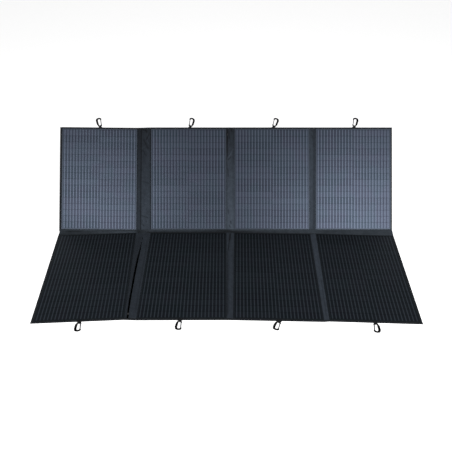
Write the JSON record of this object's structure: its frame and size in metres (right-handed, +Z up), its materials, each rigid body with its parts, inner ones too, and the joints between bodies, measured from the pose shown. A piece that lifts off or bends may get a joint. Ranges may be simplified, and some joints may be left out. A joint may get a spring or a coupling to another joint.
{
  "type": "folding solar panel",
  "caption": "Fabric solar blanket of two hinged rows of stiff panels, the back row propped up on fold-out legs, with sprung snap hooks on webbing loops round its edge.",
  "frame": {"origin": "middle of the lower row's underside, on the ground", "axes": "+X along the fold, to the right seen from the front; +Y away from the viewer, towards the raised row; +Z up"},
  "size_m": [1.919, 1.2597, 0.4781],
  "materials": {
    "cloth": "woven polyester back cloth",
    "seam_cloth": "woven polyester, creased",
    "binding": "ribbed binding tape",
    "webbing": "woven webbing",
    "laminate": "textured clear film over dark cell strips",
    "board": "plain board",
    "lead": "flat insulated lead",
    "hook": "black anodised",
    "gate": "black anodised, worn",
    "rivet": "plated",
    "leg_tube": "black anodised tube",
    "foot_rubber": "matt moulded rubber",
    "bracket": "moulded nylon",
    "box": "moulded, fine spark texture",
    "socket": "moulded"
  },
  "bodies": {
    "lower_row": {"lower_back_cloth": "cloth", "lower_boards": "board", "lower_seams": "seam_cloth", "lower_leads": "lead", "lower_binding": "binding", "lower_fold_leaf": "seam_cloth", "lower_loops": "webbing", "lower_laminate_1": "laminate", "lower_laminate_2": "laminate", "lower_laminate_3": "laminate", "lower_laminate_4": "laminate"},
    "upper_row": {"upper_back_cloth": "cloth", "upper_boards": "board", "upper_seams": "seam_cloth", "upper_leads": "lead", "upper_binding": "binding", "upper_fold_leaf": "seam_cloth", "upper_loops": "webbing", "upper_laminate_1": "laminate", "upper_laminate_2": "laminate", "upper_laminate_3": "laminate", "upper_laminate_4": "laminate", "leg_brackets": "bracket", "leg_pins": "rivet", "bracket_rivets": "rivet", "box_tray": "box", "box_lid": "box", "output_socket": "socket"},
    "leg_1": {"leg_1": "leg_tube", "leg_foot_1": "foot_rubber"},
    "leg_2": {"leg_2": "leg_tube", "leg_foot_2": "foot_rubber"},
    "leg_3": {"leg_3": "leg_tube", "leg_foot_3": "foot_rubber"},
    "leg_4": {"leg_4": "leg_tube", "leg_foot_4": "foot_rubber"},
    "lower_hook_1": {"lower_hook_1": "hook", "lower_rivet_1": "rivet"},
    "lower_gate_1": {"lower_gate_1": "gate"},
    "lower_hook_2": {"lower_hook_2": "hook", "lower_rivet_2": "rivet"},
    "lower_gate_2": {"lower_gate_2": "gate"},
    "lower_hook_3": {"lower_hook_3": "hook", "lower_rivet_3": "rivet"},
    "lower_gate_3": {"lower_gate_3": "gate"},
    "lower_hook_4": {"lower_hook_4": "hook", "lower_rivet_4": "rivet"},
    "lower_gate_4": {"lower_gate_4": "gate"},
    "upper_hook_1": {"upper_hook_1": "hook", "upper_rivet_1": "rivet"},
    "upper_gate_1": {"upper_gate_1": "gate"},
    "upper_hook_2": {"upper_hook_2": "hook", "upper_rivet_2": "rivet"},
    "upper_gate_2": {"upper_gate_2": "gate"},
    "upper_hook_3": {"upper_hook_3": "hook", "upper_rivet_3": "rivet"},
    "upper_gate_3": {"upper_gate_3": "gate"},
    "upper_hook_4": {"upper_hook_4": "hook", "upper_rivet_4": "rivet"},
    "upper_gate_4": {"upper_gate_4": "gate"}
  },
  "joints": [
    {"name": "row_fold", "type": "hinge", "parent": "lower_row", "child": "upper_row", "pos_m": [0, 0.306, 0.0094], "axis": [1, 0, 0], "range_deg": [-46, 134]},
    {"name": "leg_1_fold", "type": "hinge", "parent": "upper_row", "child": "leg_1", "pos_m": [-0.7345, 0.62604, 0.31202], "axis": [1, 0, 0], "range_deg": [-84.97, 0]},
    {"name": "leg_2_fold", "type": "hinge", "parent": "upper_row", "child": "leg_2", "pos_m": [-0.2165, 0.62604, 0.31202], "axis": [1, 0, 0], "range_deg": [-84.97, 0]},
    {"name": "leg_3_fold", "type": "hinge", "parent": "upper_row", "child": "leg_3", "pos_m": [0.2655, 0.62604, 0.31202], "axis": [1, 0, 0], "range_deg": [-84.97, 0]},
    {"name": "leg_4_fold", "type": "hinge", "parent": "upper_row", "child": "leg_4", "pos_m": [0.7345, 0.62604, 0.31202], "axis": [1, 0, 0], "range_deg": [-84.97, 0]},
    {"name": "lower_hook_1_swing", "type": "hinge", "parent": "lower_row", "child": "lower_hook_1", "pos_m": [-0.70015, -0.30703, 0.0045], "axis": [0.9965, 0.0837, 0], "range_deg": [-90, 90]},
    {"name": "lower_gate_1_open", "type": "hinge", "parent": "lower_hook_1", "child": "lower_gate_1", "pos_m": [-0.69117, -0.31591, 0.0045], "axis": [0, 0, -1], "range_deg": [0, 26], "stiffness_Nm_per_rad": 0.1, "springref_deg": -34.38},
    {"name": "lower_hook_2_swing", "type": "hinge", "parent": "lower_row", "child": "lower_hook_2", "pos_m": [-0.22103, -0.29849, 0.0045], "axis": [0.9965, -0.0837, 0], "range_deg": [-90, 90]},
    {"name": "lower_gate_2_open", "type": "hinge", "parent": "lower_hook_2", "child": "lower_gate_2", "pos_m": [-0.21366, -0.30874, 0.0045], "axis": [0, 0, -1], "range_deg": [0, 26], "stiffness_Nm_per_rad": 0.1, "springref_deg": -34.38},
    {"name": "lower_hook_3_swing", "type": "hinge", "parent": "lower_row", "child": "lower_hook_3", "pos_m": [0.25237, -0.30285, 0.0045], "axis": [0.9184, -0.3955, 0], "range_deg": [-90, 90]},
    {"name": "lower_gate_3_open", "type": "hinge", "parent": "lower_hook_3", "child": "lower_gate_3", "pos_m": [0.2561, -0.31491, 0.0045], "axis": [0, 0, -1], "range_deg": [0, 26], "stiffness_Nm_per_rad": 0.1, "springref_deg": -34.38},
    {"name": "lower_hook_4_swing", "type": "hinge", "parent": "lower_row", "child": "lower_hook_4", "pos_m": [0.71217, -0.31356, 0.0045], "axis": [0.9943, -0.1063, 0], "range_deg": [-90, 90]},
    {"name": "lower_gate_4_open", "type": "hinge", "parent": "lower_hook_4", "child": "lower_gate_4", "pos_m": [0.703, -0.32224, 0.0045], "axis": [0, 0, 1], "range_deg": [0, 26], "stiffness_Nm_per_rad": 0.1, "springref_deg": -34.38},
    {"name": "upper_hook_1_swing", "type": "hinge", "parent": "upper_row", "child": "upper_hook_1", "pos_m": [-0.72672, 0.73174, 0.44321], "axis": [-0.9803, -0.1373, -0.1422], "range_deg": [-90, 90]},
    {"name": "upper_gate_1_open", "type": "hinge", "parent": "upper_hook_1", "child": "upper_gate_1", "pos_m": [-0.72057, 0.7394, 0.45115], "axis": [0, -0.7193, 0.6947], "range_deg": [0, 26], "stiffness_Nm_per_rad": 0.1, "springref_deg": -34.38},
    {"name": "upper_hook_2_swing", "type": "hinge", "parent": "upper_row", "child": "upper_hook_2", "pos_m": [-0.20505, 0.73177, 0.44325], "axis": [-0.9781, 0.1444, 0.1496], "range_deg": [-90, 90]},
    {"name": "upper_gate_2_open", "type": "hinge", "parent": "upper_hook_2", "child": "upper_gate_2", "pos_m": [-0.21107, 0.73948, 0.45123], "axis": [0, 0.7193, -0.6947], "range_deg": [0, 26], "stiffness_Nm_per_rad": 0.1, "springref_deg": -34.38},
    {"name": "upper_hook_3_swing", "type": "hinge", "parent": "upper_row", "child": "upper_hook_3", "pos_m": [0.27755, 0.73167, 0.44314], "axis": [-0.9563, 0.2031, 0.2103], "range_deg": [-90, 90]},
    {"name": "upper_gate_3_open", "type": "hinge", "parent": "upper_hook_3", "child": "upper_gate_3", "pos_m": [0.27251, 0.73971, 0.45146], "axis": [0, 0.7193, -0.6947], "range_deg": [0, 26], "stiffness_Nm_per_rad": 0.1, "springref_deg": -34.38},
    {"name": "upper_hook_4_swing", "type": "hinge", "parent": "upper_row", "child": "upper_hook_4", "pos_m": [0.74072, 0.7318, 0.44328], "axis": [-0.9848, 0.1206, 0.1249], "range_deg": [-90, 90]},
    {"name": "upper_gate_4_open", "type": "hinge", "parent": "upper_hook_4", "child": "upper_gate_4", "pos_m": [0.73431, 0.73936, 0.4511], "axis": [0, 0.7193, -0.6947], "range_deg": [0, 26], "stiffness_Nm_per_rad": 0.1, "springref_deg": -34.38}
  ]
}
